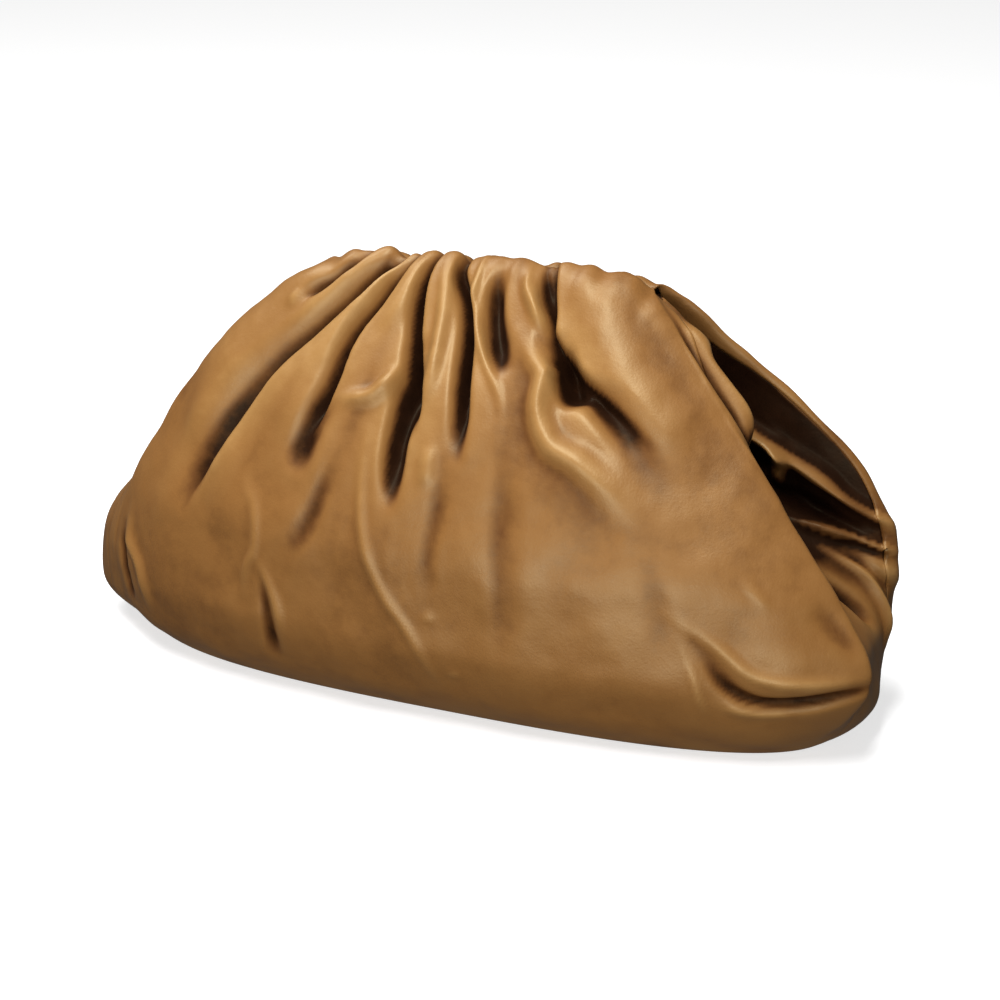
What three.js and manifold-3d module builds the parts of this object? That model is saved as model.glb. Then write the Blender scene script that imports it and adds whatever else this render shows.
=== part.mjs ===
// A soft leather pouch bag with its mouth gathered on a hidden frame.
// X runs along the bag, -Y is its front, +Z is up, and the origin is the middle of its base.
// All lengths are in millimetres.
import * as THREE from "three";
import { mergeVertices } from "three/addons/utils/BufferGeometryUtils.js";
import Module from "manifold-3d";

const BAG_LENGTH = 400; // nominal length over the two ends
const BAG_HEIGHT = 200; // floor to the top of the gathered lips
const BAG_DEPTH = 172; // front to back at the belly
const LEATHER = 2.2; // wall thickness
const SEAM_GAP = 0.3; // clearance between sewn pieces
const MOUTH_TILT = 5; // how much the right end of the mouth stands above the left end
const MOUTH_ARCH = 3; // how much the middle of the mouth stands above its ends
const MOUTH_HALF = 3; // half the slit between the closed lips
const HEM_DROP = 20; // how far the leather turns down inside the mouth
const SEAM_RETURN = 9; // how far a face's leather goes on past its ridge to the side seam

const LIP_ROLL = 5.2; // how far the lip's leather rolls out from the slit to its top
const COLLAR_ROOM = 9.8; // room for the gathers between the frame and the leather below the lip

const FRAME_BAR_HEIGHT = 8;
const FRAME_BAR_THICKNESS = 3;
const FRAME_END_ROOM = 7; // from the frame's end to the end of the mouth's hem
const FRAME_LEG_WIDTH = 7;
const FRAME_LEG_DROP = 34; // from the bar's underside to the hinge
const FRAME_CLEARANCE = 0.4; // between the frame and the leather round it
const FRAME_LIP_ROOM = 5; // how far the bars lie below the rounded lip

// How many facets each piece has across and along its walls.
const FACE_STEPS = { front: 54, back: 34 };
const GUSSET_STEPS = 10;
const GUSSET_TOP = 0.95; // the gussets stop just under the lips
const WALL_LEVELS = [
  0, 0.02, 0.05, 0.085, 0.13, 0.175, 0.22, 0.27, 0.33, 0.39, 0.45, 0.51, 0.57, 0.63, 0.69,
  0.74, 0.79, 0.84, 0.88, 0.92, GUSSET_TOP, 0.98, 1,
];
const HEM_SHARES = [0.22, 0.5, 1]; // levels of the hem, from the lip's top to the hem's edge

const half = { length: BAG_LENGTH / 2, depth: BAG_DEPTH / 2 };

// Gives each row of a table its named columns.
function table(columns, rows) {
  const names = columns.split(" ");
  return rows.map((row) => Object.fromEntries(names.map((name, i) => [name, row[i]])));
}

// Level sections of the leather, from the base seam up and over the lip.
// height is a share of the bag's height, the reaches are shares of half its length, and depth is
// a share of half its depth. A reach is where a ridge or the middle of an end stands. ridge is
// the ridges' share of the section's depth, and square is how boxy the section is.
const frameReach = MOUTH_HALF + LEATHER + FRAME_CLEARANCE + FRAME_BAR_THICKNESS;
const depthShare = (depth) => depth / half.depth;
const mouthDepth = {
  collar: depthShare(frameReach + LEATHER + COLLAR_ROOM),
  lipOut: depthShare(MOUTH_HALF + 2 * LIP_ROLL),
  lipTop: depthShare(MOUTH_HALF + LIP_ROLL),
  lipIn: depthShare(MOUTH_HALF + LIP_ROLL / 6),
  hem: depthShare(MOUTH_HALF),
};
const hemHeight = 1 - HEM_DROP / BAG_HEIGHT;
const SECTIONS = table(
  "name height rightFront rightBack rightEnd leftFront leftBack leftEnd depth ridge square",
  [
    ["seam", 0.0, 0.78, 0.73, 0.79, 0.76, 0.68, 0.86, 0.56, 0.44, 2.8],
    ["sole", 0.0, 0.81, 0.765, 0.83, 0.8, 0.72, 0.91, 0.615, 0.44, 2.8],
    ["heel", 0.035, 0.86, 0.83, 0.91, 0.86, 0.8, 1.02, 0.75, 0.44, 2.7],
    ["low", 0.1, 0.93, 0.88, 0.955, 0.92, 0.9, 1.07, 0.885, 0.44, 2.5],
    ["belly", 0.22, 1.0, 0.91, 0.94, 0.925, 0.93, 1.05, 0.98, 0.44, 2.3],
    ["waist", 0.38, 0.93, 0.92, 0.78, 0.885, 0.92, 0.93, 0.975, 0.44, 2.2],
    ["flank", 0.55, 0.795, 0.855, 0.52, 0.8, 0.8, 0.6, 0.87, 0.45, 2.2],
    ["shoulder", 0.72, 0.642, 0.7, 0.43, 0.69, 0.665, 0.44, 0.68, 0.47, 2.4],
    ["neck", 0.87, 0.51, 0.535, 0.41, 0.56, 0.53, 0.41, 0.42, 0.48, 2.8],
    ["collar", 0.96, 0.435, 0.45, 0.41, 0.465, 0.44, 0.41, mouthDepth.collar, 0.5, 3.4],
    ["lipOut", 0.99, 0.41, 0.415, 0.4, 0.42, 0.405, 0.4, mouthDepth.lipOut, 0.5, 4.0],
    ["lipTop", 1.0, 0.4, 0.4, 0.395, 0.4, 0.395, 0.395, mouthDepth.lipTop, 0.5, 4.0],
    ["lipIn", 0.985, 0.382, 0.382, 0.38, 0.382, 0.38, 0.38, mouthDepth.lipIn, 0.5, 4.0],
    ["hem", hemHeight, 0.37, 0.37, 0.366, 0.37, 0.37, 0.366, mouthDepth.hem, 0.5, 4.0],
  ],
);
const LIP_TOP = SECTIONS.findIndex((row) => row.name === "lipTop");

// Folds of the front and back. Each runs through three points of the panel: across is a share
// from the middle to a ridge, up is a share of the way from the base seam to the lip. out is the
// height of a ridge, or less than 0 the depth of a valley, at its start and end. wide is its half
// width there, and crisp runs from 0, round, to 1, creased.
const FOLD_COLUMNS = "across0 up0 across1 up1 across2 up2 out0 out1 wide0 wide1 crisp";
const FRONT_FOLDS = table(FOLD_COLUMNS, [
  [-0.74, 1.0, -0.81, 0.935, -0.86, 0.9, -4, -7, 4, 5, 0.6],
  [-0.47, 1.05, -0.62, 0.84, -0.71, 0.55, -8, -7, 4, 14, 0.6],
  [-0.35, 1.05, -0.47, 0.86, -0.43, 0.66, -8, -8, 4, 10, 0.6],
  [-0.24, 1.05, -0.16, 0.8, -0.07, 0.5, -9, -7, 4, 14, 0.6],
  [-0.09, 1.05, 0.06, 0.86, 0.05, 0.64, -8, -7, 4, 12, 0.6],
  [0.08, 1.05, 0.03, 0.95, 0.11, 0.79, -6, -5, 4, 7, 0.5],
  [0.22, 1.05, 0.18, 0.93, 0.23, 0.8, -6, -4, 6, 9, 0.2],
  [0.415, 1.05, 0.46, 0.89, 0.54, 0.74, -8, -8, 5, 11, 0.3],
  [0.58, 0.73, 0.68, 0.67, 0.78, 0.54, -5, -3, 10, 18, 0.1],
  [-0.9, 0.98, -0.93, 0.8, -0.95, 0.58, 4, 2, 14, 20, 0],
  [-0.41, 1.05, -0.55, 0.84, -0.54, 0.62, 3, 3, 7, 10, 0],
  [-0.3, 1.05, -0.31, 0.83, -0.2, 0.68, 3, 5, 7, 9, 0],
  [-0.16, 1.05, -0.1, 0.87, -0.01, 0.66, 3, 3, 6, 6, 0.2],
  [0.09, 1.0, 0.11, 0.86, 0.29, 0.67, 3, 3, 5, 6, 0.2],
  [0.32, 0.86, 0.42, 0.72, 0.64, 0.5, 4, 5, 7, 14, 0.1],
  [0.72, 1.05, 0.8, 0.83, 0.9, 0.55, 6, 3, 16, 22, 0],
  [-0.48, 0.48, -0.45, 0.34, -0.46, 0.17, 1.5, 2.5, 5, 6, 0.3],
  [-0.43, 0.34, -0.36, 0.25, -0.34, 0.16, 2, 2.5, 5, 6, 0.3],
  [-0.41, 0.3, -0.4, 0.22, -0.39, 0.12, -4, -5, 8, 10, 0],
  [-0.26, 0.69, -0.14, 0.47, 0.08, 0.15, 2.5, 2.5, 6, 7, 0.3],
  [0.04, 0.6, 0.08, 0.42, 0.1, 0.22, -3, -2, 14, 16, 0],
  [0.2, 0.64, 0.21, 0.43, 0.19, 0.16, -3, -2, 12, 14, 0],
  [0.63, 0.5, 0.58, 0.36, 0.56, 0.2, -3, -2, 12, 12, 0],
  [0.61, 0.36, 0.77, 0.24, 0.97, 0.25, 3, 5, 8, 10, 0.1],
  [0.68, 0.29, 0.8, 0.195, 0.97, 0.2, -6, -8, 6, 8, 0.4],
  [0.67, 0.24, 0.78, 0.14, 0.93, 0.13, 3, 3, 8, 8, 0],
  [-0.91, 0.31, -0.85, 0.23, -0.8, 0.15, 3, 3, 5, 6, 0.3],
  [-0.93, 0.26, -0.9, 0.2, -0.87, 0.14, -4, -4, 6, 7, 0.1],
]);
const BACK_FOLDS = table(FOLD_COLUMNS, [
  [-0.78, 1.05, -0.8, 0.86, -0.84, 0.66, -7, -5, 5, 12, 0.5],
  [-0.56, 1.05, -0.6, 0.82, -0.68, 0.52, -8, -6, 4, 14, 0.5],
  [-0.36, 1.05, -0.38, 0.84, -0.36, 0.6, -8, -7, 5, 12, 0.5],
  [-0.17, 1.05, -0.14, 0.82, -0.2, 0.48, -8, -6, 4, 14, 0.5],
  [0.02, 1.05, 0.0, 0.86, 0.06, 0.62, -8, -7, 5, 11, 0.5],
  [0.2, 1.05, 0.21, 0.8, 0.3, 0.5, -8, -6, 4, 14, 0.5],
  [0.4, 1.05, 0.42, 0.85, 0.44, 0.64, -8, -7, 5, 11, 0.5],
  [0.6, 1.05, 0.64, 0.84, 0.72, 0.56, -7, -5, 4, 13, 0.5],
  [0.8, 1.05, 0.83, 0.88, 0.86, 0.7, -6, -4, 5, 11, 0.4],
  [-0.5, 0.46, -0.44, 0.32, -0.46, 0.16, 3, 2, 8, 10, 0.1],
  [0.1, 0.44, 0.04, 0.3, 0.08, 0.16, 3, 2, 9, 10, 0.1],
  [0.52, 0.44, 0.58, 0.3, 0.52, 0.16, 3, 2, 8, 10, 0.1],
  [-0.66, 0.28, -0.8, 0.19, -0.96, 0.2, -5, -7, 7, 8, 0.3],
  [0.68, 0.28, 0.8, 0.19, 0.96, 0.2, -5, -6, 7, 8, 0.3],
]);

// Folds of the gussets. across runs from -1 at the front ridge to 1 at the back ridge.
const RIGHT_FOLDS = table(FOLD_COLUMNS, [
  [0.0, 0.98, 0.5, 0.82, 0.42, 0.62, 5, 6, 7, 7, 0],
  [-0.1, 0.9, 0.15, 0.78, 0.1, 0.64, -4, -5, 7, 8, 0],
  [0.42, 0.62, 0.6, 0.5, 0.9, 0.39, 5, 5, 7, 7, 0],
  [0.32, 0.54, 0.45, 0.46, 0.7, 0.4, -4, -4, 7, 7, 0],
  [0.1, 0.44, 0.5, 0.38, 0.9, 0.32, 4, 4, 6, 7, 0],
  [0.45, 0.36, 0.5, 0.28, 0.4, 0.2, -5, -4, 7, 7, 0.2],
  [-0.5, 0.42, -0.6, 0.34, -0.7, 0.24, -5, -3, 6, 6, 0.1],
]);
const LEFT_FOLDS = table(FOLD_COLUMNS, [
  [0.0, 0.98, -0.3, 0.82, -0.2, 0.62, 4, 5, 5, 6, 0.2],
  [0.5, 0.6, 0.1, 0.52, -0.5, 0.45, 5, 4, 7, 7, 0.1],
  [0.5, 0.46, 0.1, 0.4, -0.6, 0.36, -5, -4, 7, 7, 0.2],
  [0.3, 0.3, 0.2, 0.2, 0.3, 0.1, -4, -3, 7, 7, 0.2],
]);

// Smooth interpolation that never overshoots its points.
function smoothCurve(xs, ys) {
  const step = xs.slice(1).map((x, i) => x - xs[i]);
  const slope = step.map((h, i) => (ys[i + 1] - ys[i]) / h);
  const turn = ys.map((_, i) => {
    if (i === 0) return slope[0];
    if (i === ys.length - 1) return slope[i - 1];
    if (slope[i - 1] * slope[i] <= 0) return 0;
    const before = 2 * step[i] + step[i - 1];
    const after = step[i] + 2 * step[i - 1];
    return (before + after) / (before / slope[i - 1] + after / slope[i]);
  });
  return (x) => {
    let k = 0;
    while (k < step.length - 1 && x >= xs[k + 1]) k += 1;
    const t = (x - xs[k]) / step[k];
    const u = 1 - t;
    return (
      ys[k] * (1 + 2 * t) * u * u + turn[k] * step[k] * t * u * u +
      ys[k + 1] * t * t * (3 - 2 * t) - turn[k + 1] * step[k] * t * t * u
    );
  };
}

// Where each section lies along the wall: 0 at the base seam, 1 at the top of the lip.
const wallPath = SECTIONS.reduce((path, row, i) => {
  const last = SECTIONS[Math.max(0, i - 1)];
  const rise = (row.height - last.height) * BAG_HEIGHT;
  const reach = (row.depth - last.depth) * half.depth;
  return [...path, (path[i - 1] ?? 0) + Math.hypot(rise, reach)];
}, []);
const WALL_LENGTH = wallPath[LIP_TOP];
const SECTION_UP = wallPath.map((length) => length / WALL_LENGTH);
const HEM_END = SECTION_UP[SECTION_UP.length - 1];
const column = (name) => smoothCurve(SECTION_UP, SECTIONS.map((row) => row[name]));
const at = Object.fromEntries(
  Object.keys(SECTIONS[0]).filter((name) => name !== "name").map((name) => [name, column(name)]),
);

const clamp = (x, low, high) => Math.min(high, Math.max(low, x));
const ease = (x) => clamp(x, 0, 1) ** 2 * (3 - 2 * clamp(x, 0, 1));

const TILT_START = 0.55; // the mouth's tilt and arch fade out below this share of the wall
const TILT_REACH = 1.3; // and they stop growing past this share of the mouth's half length
function height(x, up) {
  const mouthHalf = at.rightFront(1) * half.length;
  const share = clamp(x / mouthHalf, -TILT_REACH, TILT_REACH);
  const lift = (MOUTH_TILT / 2) * share + MOUTH_ARCH * (0.5 - share ** 2);
  return at.height(up) * BAG_HEIGHT + lift * ease((up - TILT_START) / (1 - TILT_START));
}

// A point of the front (side -1) or back (side 1) before its folds, across from -1 to 1.
function facePoint(side, across, up) {
  const name = (across > 0 ? "right" : "left") + (side < 0 ? "Front" : "Back");
  const reach = at[name](up) * half.length;
  const power = at.square(up);
  const whole = reach / (1 - at.ridge(up) ** power) ** (1 / power);
  const x = reach * across;
  const y = side * at.depth(up) * half.depth * (1 - Math.abs(x / whole) ** power) ** (1 / power);
  return new THREE.Vector3(x, y, height(x, up));
}

// Half the width of an end, from its middle to a ridge.
const endWidth = (up) => at.ridge(up) * at.depth(up) * half.depth;

// How far an end is tucked in between its ridges, as a share of its deepest place: across is -1 at
// the front ridge and 1 at the back. High on the right end, a strip stands behind the front ridge
// and the tuck lies beside the back one. Lower down, the tuck starts at the front ridge.
const TUCK = table("across rightHigh rightLow left", [
  [-1, 0, 0, 0],
  [-0.8, 0, 0.36, 0.14],
  [-0.55, 0.02, 0.74, 0.46],
  [-0.3, 0.1, 0.95, 0.74],
  [-0.05, 0.35, 1, 0.94],
  [0.18, 0.8, 0.97, 1],
  [0.4, 1, 0.86, 0.85],
  [0.6, 0.85, 0.6, 0.55],
  [0.8, 0.35, 0.25, 0.2],
  [1, 0, 0, 0],
]);
const tuckCurve = Object.fromEntries(
  ["rightHigh", "rightLow", "left"].map((name) => [
    name,
    smoothCurve(TUCK.map((row) => row.across), TUCK.map((row) => row[name])),
  ]),
);
const STRIP = [0.5, 0.68]; // the share of the wall over which the strip of the right end runs out
function tucked(side, across, up) {
  if (side < 0) return tuckCurve.left(across);
  const high = tuckCurve.rightHigh(across);
  const low = tuckCurve.rightLow(across);
  return low + (high - low) * ease((up - STRIP[0]) / (STRIP[1] - STRIP[0]));
}
const END_ROUND = 2; // the power of an end that stands out round
const TUCK_BLEND = 12; // the millimetres of tuck over which an end turns from round to tucked

// A point of the right (side 1) or left (side -1) end, across from -1 at the front ridge.
function endPoint(side, across, up) {
  const name = side > 0 ? "right" : "left";
  const front = at[name + "Front"](up) * half.length;
  const back = at[name + "Back"](up) * half.length;
  const ridge = front + ((back - front) * (across + 1)) / 2;
  const middle = at[name + "End"](up) * half.length;
  const tuck = ease((ridge - middle) / TUCK_BLEND);
  const corner = across < 0 ? front : back;
  const roundReach = corner + (middle - corner) * (1 - Math.abs(across) ** END_ROUND);
  const tuckedReach = ridge + (middle - ridge) * tucked(side, across, up);
  const x = side * (roundReach + (tuckedReach - roundReach) * tuck);
  return new THREE.Vector3(x, across * endWidth(up), height(x, up));
}

// The line of a fold through its three points, as short straight steps with their own share.
const FOLD_STEPS = 10;
function foldLine(fold, place) {
  const line = [];
  for (let i = 0; i <= FOLD_STEPS; i += 1) {
    const t = i / FOLD_STEPS;
    const weight = [(1 - t) * (1 - 2 * t), 4 * t * (1 - t), t * (2 * t - 1)];
    const mix = (name) => [0, 1, 2].reduce((sum, k) => sum + weight[k] * fold[name + k], 0);
    line.push(place(mix("across"), mix("up")));
  }
  return line;
}

const FADE = 0.22; // the share of a fold over which it fades at its lower end
const FADE_TO = 0.3; // how much of it is left at that end, before easing
const CREASE_WIDTH = 0.75; // a crease's share of a round fold's width
function foldHeight(folds, place, across, up) {
  const here = place(across, up);
  return folds.reduce((total, fold) => {
    fold.line ??= foldLine(fold, place);
    let nearest = Infinity;
    let share = 0;
    for (let i = 0; i < FOLD_STEPS; i += 1) {
      const [ax, ay] = fold.line[i];
      const [bx, by] = fold.line[i + 1];
      const span = (bx - ax) ** 2 + (by - ay) ** 2;
      const t = clamp(((here[0] - ax) * (bx - ax) + (here[1] - ay) * (by - ay)) / span, 0, 1);
      const distance = Math.hypot(here[0] - ax - t * (bx - ax), here[1] - ay - t * (by - ay));
      if (distance < nearest) [nearest, share] = [distance, (i + t) / FOLD_STEPS];
    }
    const wide = fold.wide0 + (fold.wide1 - fold.wide0) * share;
    const out = fold.out0 + (fold.out1 - fold.out0) * share;
    const round = Math.exp(-((nearest / wide) ** 2));
    const crease = Math.exp(-nearest / (CREASE_WIDTH * wide));
    const ends = ease((1 - share) / FADE + FADE_TO);
    return total + out * ends * ((1 - fold.crisp) * round + fold.crisp * crease);
  }, 0);
}

// Flat places on a panel, in millimetres, so that a fold's width is a real width.
const onFace = (side) => (across, up) => {
  const name = (across > 0 ? "right" : "left") + (side < 0 ? "Front" : "Back");
  return [across * at[name](up) * half.length, up * WALL_LENGTH];
};
const onEnd = (across, up) => [across * endWidth(up), up * WALL_LENGTH];

// Folds are full on the walls, lower over the lip and gone at the hem and on the base.
const CALM_BASE = [0.05, 0.14];
const CALM_LIP = [0.88, 1];
const CALM_HEM = [1, 1.05];
const LIP_FOLD = 0.45; // the folds' share that is left at the lip
const between = (up, [start, end]) => ease((up - start) / (end - start));
const strength = (up) =>
  between(up, CALM_BASE) * (1 - (1 - LIP_FOLD) * between(up, CALM_LIP)) * (1 - between(up, CALM_HEM));

const RIDGE_CALM = 0.05; // folds fade out in this share of the width beside a ridge
const END_CALM = 0.2;
const END_ROOM = 30; // an end narrower than this to a side has lower folds
const faceFolds = { "-1": [FRONT_FOLDS, onFace(-1)], 1: [BACK_FOLDS, onFace(1)] };
const endFolds = { 1: [RIGHT_FOLDS, onEnd], "-1": [LEFT_FOLDS, onEnd] };

const calm = (across, margin) => ease((1 - Math.abs(across)) / margin);
const faceFold = (side, across, up) =>
  foldHeight(...faceFolds[side], across, up) * strength(up) * calm(across, RIDGE_CALM);
const endFold = (side, across, up) =>
  foldHeight(...endFolds[side], across, up) * strength(up) * calm(across, END_CALM) *
  Math.min(1, endWidth(up) / END_ROOM) ** 2;

const faceReach = (side, across, up) =>
  at[(across > 0 ? "right" : "left") + (side < 0 ? "Front" : "Back")](up) * half.length;

// The length of an end's leather from a ridge to its middle.
function endSpan(side, across, up) {
  const name = side > 0 ? "right" : "left";
  const tuck = at[name + (across < 0 ? "Front" : "Back")](up) - at[name + "End"](up);
  return Math.hypot(endWidth(up), tuck * half.length);
}

// How far a face goes on past its ridge, which is less where the end is narrow.
const seamReturn = (span) => Math.min(SEAM_RETURN, span / 2);

// A face panel, whose leather goes on round the ridges: across past 1 lies on the end.
function facePanel(side) {
  const onReturn = (across, up) => {
    const hand = Math.sign(across);
    const past = (Math.abs(across) - 1) * faceReach(side, across, up);
    return [hand, side * (1 - past / endSpan(hand, side, up))];
  };
  return {
    flip: side > 0,
    reach: (up) => faceReach(side, 1, up),
    point: (across, up) =>
      Math.abs(across) <= 1 ? facePoint(side, across, up) : endPoint(...onReturn(across, up), up),
    fold: (across, up) =>
      Math.abs(across) <= 1 ? faceFold(side, across, up) : endFold(...onReturn(across, up), up),
    limits: (up) =>
      [-1, 1].map((hand) => {
        const past = seamReturn(endSpan(hand, side, up));
        return hand * (1 + past / faceReach(side, hand, up));
      }),
  };
}

// A gusset panel, which fills the end between the two faces' returns.
function gussetPanel(side) {
  return {
    flip: side < 0,
    reach: endWidth,
    point: (across, up) => endPoint(side, across, up),
    fold: (across, up) => endFold(side, across, up),
    limits: (up) =>
      [-1, 1].map((hand) => {
        const span = endSpan(side, hand, up);
        return hand * (1 - (seamReturn(span) + SEAM_GAP) / span);
      }),
  };
}

// The two sides of a panel's leather at one place.
const NORMAL_SPAN = 3; // the distance over which the leather's direction is measured
function leatherAt(panel, across, up) {
  const da = NORMAL_SPAN / panel.reach(up);
  const du = NORMAL_SPAN / WALL_LENGTH;
  const along = panel.point(across + da, up).sub(panel.point(across - da, up));
  const above = panel.point(across, Math.min(up + du, HEM_END));
  const rise = above.sub(panel.point(across, Math.max(up - du, 0)));
  const outward = along.cross(rise).normalize().multiplyScalar(panel.flip ? -1 : 1);
  const outer = panel.point(across, up).addScaledVector(outward, panel.fold(across, up));
  return { outer, inner: outer.clone().addScaledVector(outward, -LEATHER) };
}

// Even shares from -1 to 1.
const spread = (steps) => Array.from({ length: steps + 1 }, (_, i) => (2 * i) / steps - 1);

// A face's grid runs from ridge to ridge and on to its two side seams.
const faceGrid = (side, steps) =>
  WALL_LEVELS.concat(HEM_SHARES.map((share) => 1 + (HEM_END - 1) * share)).map((up) => {
    const panel = facePanel(side);
    const [left, right] = panel.limits(up);
    return [left, ...spread(steps), right].map((across) => leatherAt(panel, across, up));
  });

// A gusset's grid runs from seam to seam, up to just under the lips.
const gussetGrid = (side) =>
  WALL_LEVELS.filter((up) => up <= GUSSET_TOP).map((up) => {
    const panel = gussetPanel(side);
    const [front, back] = panel.limits(up);
    const middle = (front + back) / 2;
    const reach = (back - front) / 2;
    return spread(GUSSET_STEPS).map((share) => leatherAt(panel, middle + reach * share, up));
  });

// A closed wall between the outer and inner points of a grid. Each cell of the grid is split
// along its shorter diagonal, which follows the folds.
function wallGeometry(grid, flip) {
  const rows = grid.length;
  const columns = grid[0].length;
  const positions = ["outer", "inner"].flatMap((layer) =>
    grid.flatMap((row) => row.flatMap((place) => place[layer].toArray())),
  );
  const outer = (i, j) => i * columns + j;
  const inner = (i, j) => (rows + i) * columns + j;
  const faces = [];
  const quad = (a, b, c, d) => faces.push(...(flip ? [a, c, b, a, d, c] : [a, b, c, a, c, d]));
  const span = (a, b) => a.outer.distanceTo(b.outer);
  for (let i = 0; i < rows - 1; i += 1) {
    for (let j = 0; j < columns - 1; j += 1) {
      const rising = span(grid[i][j], grid[i + 1][j + 1]);
      const falling = span(grid[i][j + 1], grid[i + 1][j]);
      if (rising < falling) {
        quad(outer(i, j), outer(i, j + 1), outer(i + 1, j + 1), outer(i + 1, j));
        quad(inner(i, j), inner(i + 1, j), inner(i + 1, j + 1), inner(i, j + 1));
      } else {
        quad(outer(i, j + 1), outer(i + 1, j + 1), outer(i + 1, j), outer(i, j));
        quad(inner(i, j + 1), inner(i, j), inner(i + 1, j), inner(i + 1, j + 1));
      }
    }
    quad(outer(i, 0), outer(i + 1, 0), inner(i + 1, 0), inner(i, 0));
    const last = columns - 1;
    quad(outer(i, last), inner(i, last), inner(i + 1, last), outer(i + 1, last));
  }
  for (let j = 0; j < columns - 1; j += 1) {
    quad(outer(0, j), inner(0, j), inner(0, j + 1), outer(0, j + 1));
    const last = rows - 1;
    quad(outer(last, j), outer(last, j + 1), inner(last, j + 1), inner(last, j));
  }
  const geometry = new THREE.BufferGeometry();
  geometry.setAttribute("position", new THREE.Float32BufferAttribute(positions, 3));
  geometry.setIndex(faces);
  geometry.computeVertexNormals();
  return geometry;
}

// The base fills the ring of the base seams, one seam gap inside it.
const BASE_STEPS = { face: 22, end: 8 };
function baseGeometry() {
  const ring = [
    ...spread(BASE_STEPS.face).slice(0, -1).map((share) => facePoint(-1, share, 0)),
    ...spread(BASE_STEPS.end).slice(0, -1).map((share) => endPoint(1, share, 0)),
    ...spread(BASE_STEPS.face).slice(0, -1).map((share) => facePoint(1, -share, 0)),
    ...spread(BASE_STEPS.end).slice(0, -1).map((share) => endPoint(-1, -share, 0)),
  ];
  const outline = ring.map((point, i) => {
    const before = ring[(i + ring.length - 1) % ring.length];
    const after = ring[(i + 1) % ring.length];
    const along = after.clone().sub(before).setZ(0).normalize();
    return new THREE.Vector2(point.x - along.y * SEAM_GAP, point.y + along.x * SEAM_GAP);
  });
  return new THREE.ExtrudeGeometry(new THREE.Shape(outline), { depth: LEATHER, bevelEnabled: false });
}

// The hidden frame: two bars in the turned hems, and legs down to a hinge at each end.
function frameGeometry(wasm) {
  const barMiddle = frameReach - FRAME_BAR_THICKNESS / 2;
  const lipDrop = (MOUTH_TILT + MOUTH_ARCH) / 2;
  const barTop = BAG_HEIGHT - lipDrop - LEATHER - FRAME_CLEARANCE - FRAME_LIP_ROOM;
  const legTop = barTop - FRAME_BAR_HEIGHT / 2;
  const legBottom = barTop - FRAME_BAR_HEIGHT - FRAME_LEG_DROP;
  const frameHalf = at.rightEnd(HEM_END) * half.length - FRAME_END_ROOM;
  const legX = frameHalf - FRAME_LEG_WIDTH / 2;
  const box = (width, depth, tall, x, y, z) =>
    new THREE.BoxGeometry(width, depth, tall).translate(x, y, z);
  const blocks = [];
  for (const side of [-1, 1]) {
    const y = side * barMiddle;
    blocks.push(box(2 * frameHalf, FRAME_BAR_THICKNESS, FRAME_BAR_HEIGHT, 0, y, legTop));
    for (const hand of [-1, 1]) {
      const tall = legTop - legBottom;
      blocks.push(box(FRAME_LEG_WIDTH, FRAME_BAR_THICKNESS, tall, hand * legX, y, legTop - tall / 2));
    }
  }
  for (const hand of [-1, 1]) {
    const z = legBottom + FRAME_LEG_WIDTH / 2;
    blocks.push(box(FRAME_LEG_WIDTH, 2 * frameReach, FRAME_LEG_WIDTH, hand * legX, 0, z));
  }
  return joined(wasm, blocks);
}

// Joins closed geometries into one solid.
function joined(wasm, geometries) {
  const solids = geometries.map((geometry) => {
    const plain = geometry.clone();
    plain.deleteAttribute("normal");
    plain.deleteAttribute("uv");
    const merged = mergeVertices(plain);
    return new wasm.Manifold(
      new wasm.Mesh({
        numProp: 3,
        vertProperties: merged.attributes.position.array,
        triVerts: new Uint32Array(merged.index.array),
      }),
    );
  });
  const mesh = solids.reduce((total, solid) => total.add(solid)).getMesh();
  const geometry = new THREE.BufferGeometry();
  geometry.setAttribute("position", new THREE.Float32BufferAttribute(mesh.vertProperties, 3));
  geometry.setIndex([...mesh.triVerts]);
  geometry.computeVertexNormals();
  return geometry;
}

const wasm = await Module();
wasm.setup();

const leather = new THREE.MeshStandardMaterial({ color: 0x94693f, roughness: 0.42, metalness: 0 });
const leatherInEnd = new THREE.MeshStandardMaterial({ color: 0x8a6038, roughness: 0.42, metalness: 0 });
const steel = new THREE.MeshStandardMaterial({ color: 0xb9a36a, roughness: 0.35, metalness: 1 });

function named(name, geometry, material) {
  const mesh = new THREE.Mesh(geometry, material);
  mesh.name = name;
  return mesh;
}

const bag = new THREE.Group();
bag.add(
  named("front_panel", wallGeometry(faceGrid(-1, FACE_STEPS.front), false), leather),
  named("back_panel", wallGeometry(faceGrid(1, FACE_STEPS.back), true), leather),
  named("gusset_right", wallGeometry(gussetGrid(1), false), leatherInEnd),
  named("gusset_left", wallGeometry(gussetGrid(-1), true), leatherInEnd),
  named("base_panel", baseGeometry(), leather),
  named("closure_frame", frameGeometry(wasm), steel),
);

export default bag;
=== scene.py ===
# Cloud pouch bag in gathered leather: the leather skins, their finish, the light and the camera.
import math

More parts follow.
